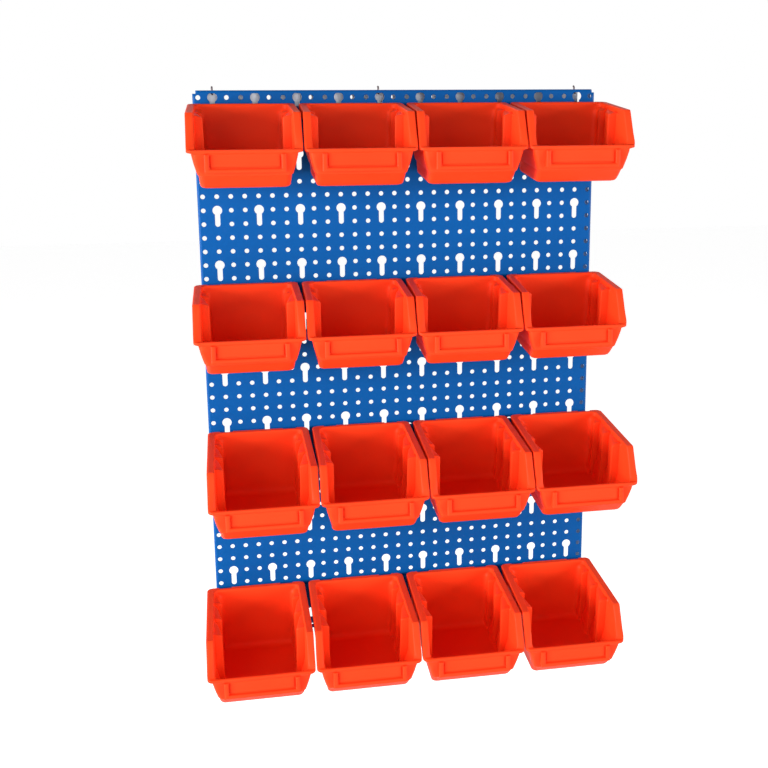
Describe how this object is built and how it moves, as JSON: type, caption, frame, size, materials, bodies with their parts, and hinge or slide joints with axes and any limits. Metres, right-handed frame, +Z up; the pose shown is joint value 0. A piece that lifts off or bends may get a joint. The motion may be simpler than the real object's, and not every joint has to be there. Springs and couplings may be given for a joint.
{
  "type": "pegboard tool wall",
  "caption": "Blue perforated steel wall panel with folded edges, hanging rails and a grid of lift-off open-fronted orange storage bins.",
  "frame": {"origin": "centre of the rectangle of the four corner screw holes, on the front face of the perforated sheet", "axes": "+X to the right across the panel, -Y out of the wall towards the user, +Z up"},
  "size_m": [0.4132, 0.1355, 0.5698],
  "materials": {
    "blue_powder_coat": "satin powder coat on folded sheet and strip steel",
    "galvanised_steel": "zinc coated, matt",
    "hook_wire": "dark drawn wire",
    "zinc_fastener": "bright zinc plate",
    "orange_plastic": "injection moulded polypropylene, satin to gloss"
  },
  "bodies": {
    "wall_panel": {"panel": "blue_powder_coat", "wall_bracket": "galvanised_steel", "hang_hooks": "hook_wire", "rail_row1": "blue_powder_coat", "rail_row2": "blue_powder_coat", "rail_row3": "blue_powder_coat", "rail_row4": "blue_powder_coat", "rail_screws": "zinc_fastener", "rail_nuts": "zinc_fastener"},
    "bin_body_r1c1": {"bin_r1c1": "orange_plastic"},
    "bin_body_r1c2": {"bin_r1c2": "orange_plastic"},
    "bin_body_r1c3": {"bin_r1c3": "orange_plastic"},
    "bin_body_r1c4": {"bin_r1c4": "orange_plastic"},
    "bin_body_r2c1": {"bin_r2c1": "orange_plastic"},
    "bin_body_r2c2": {"bin_r2c2": "orange_plastic"},
    "bin_body_r2c3": {"bin_r2c3": "orange_plastic"},
    "bin_body_r2c4": {"bin_r2c4": "orange_plastic"},
    "bin_body_r3c1": {"bin_r3c1": "orange_plastic"},
    "bin_body_r3c2": {"bin_r3c2": "orange_plastic"},
    "bin_body_r3c3": {"bin_r3c3": "orange_plastic"},
    "bin_body_r3c4": {"bin_r3c4": "orange_plastic"},
    "bin_body_r4c1": {"bin_r4c1": "orange_plastic"},
    "bin_body_r4c2": {"bin_r4c2": "orange_plastic"},
    "bin_body_r4c3": {"bin_r4c3": "orange_plastic"},
    "bin_body_r4c4": {"bin_r4c4": "orange_plastic"}
  },
  "joints": [
    {"name": "lift_r1c1", "type": "slide", "parent": "wall_panel", "child": "bin_body_r1c1", "axis": [0, 0, 1], "range_m": [0, 0.02]},
    {"name": "lift_r1c2", "type": "slide", "parent": "wall_panel", "child": "bin_body_r1c2", "axis": [0, 0, 1], "range_m": [0, 0.02]},
    {"name": "lift_r1c3", "type": "slide", "parent": "wall_panel", "child": "bin_body_r1c3", "axis": [0, 0, 1], "range_m": [0, 0.02]},
    {"name": "lift_r1c4", "type": "slide", "parent": "wall_panel", "child": "bin_body_r1c4", "axis": [0, 0, 1], "range_m": [0, 0.02]},
    {"name": "lift_r2c1", "type": "slide", "parent": "wall_panel", "child": "bin_body_r2c1", "axis": [0, 0, 1], "range_m": [0, 0.02]},
    {"name": "lift_r2c2", "type": "slide", "parent": "wall_panel", "child": "bin_body_r2c2", "axis": [0, 0, 1], "range_m": [0, 0.02]},
    {"name": "lift_r2c3", "type": "slide", "parent": "wall_panel", "child": "bin_body_r2c3", "axis": [0, 0, 1], "range_m": [0, 0.02]},
    {"name": "lift_r2c4", "type": "slide", "parent": "wall_panel", "child": "bin_body_r2c4", "axis": [0, 0, 1], "range_m": [0, 0.02]},
    {"name": "lift_r3c1", "type": "slide", "parent": "wall_panel", "child": "bin_body_r3c1", "axis": [0, 0, 1], "range_m": [0, 0.02]},
    {"name": "lift_r3c2", "type": "slide", "parent": "wall_panel", "child": "bin_body_r3c2", "axis": [0, 0, 1], "range_m": [0, 0.02]},
    {"name": "lift_r3c3", "type": "slide", "parent": "wall_panel", "child": "bin_body_r3c3", "axis": [0, 0, 1], "range_m": [0, 0.02]},
    {"name": "lift_r3c4", "type": "slide", "parent": "wall_panel", "child": "bin_body_r3c4", "axis": [0, 0, 1], "range_m": [0, 0.02]},
    {"name": "lift_r4c1", "type": "slide", "parent": "wall_panel", "child": "bin_body_r4c1", "axis": [0, 0, 1], "range_m": [0, 0.02]},
    {"name": "lift_r4c2", "type": "slide", "parent": "wall_panel", "child": "bin_body_r4c2", "axis": [0, 0, 1], "range_m": [0, 0.02]},
    {"name": "lift_r4c3", "type": "slide", "parent": "wall_panel", "child": "bin_body_r4c3", "axis": [0, 0, 1], "range_m": [0, 0.02]},
    {"name": "lift_r4c4", "type": "slide", "parent": "wall_panel", "child": "bin_body_r4c4", "axis": [0, 0, 1], "range_m": [0, 0.02]}
  ]
}
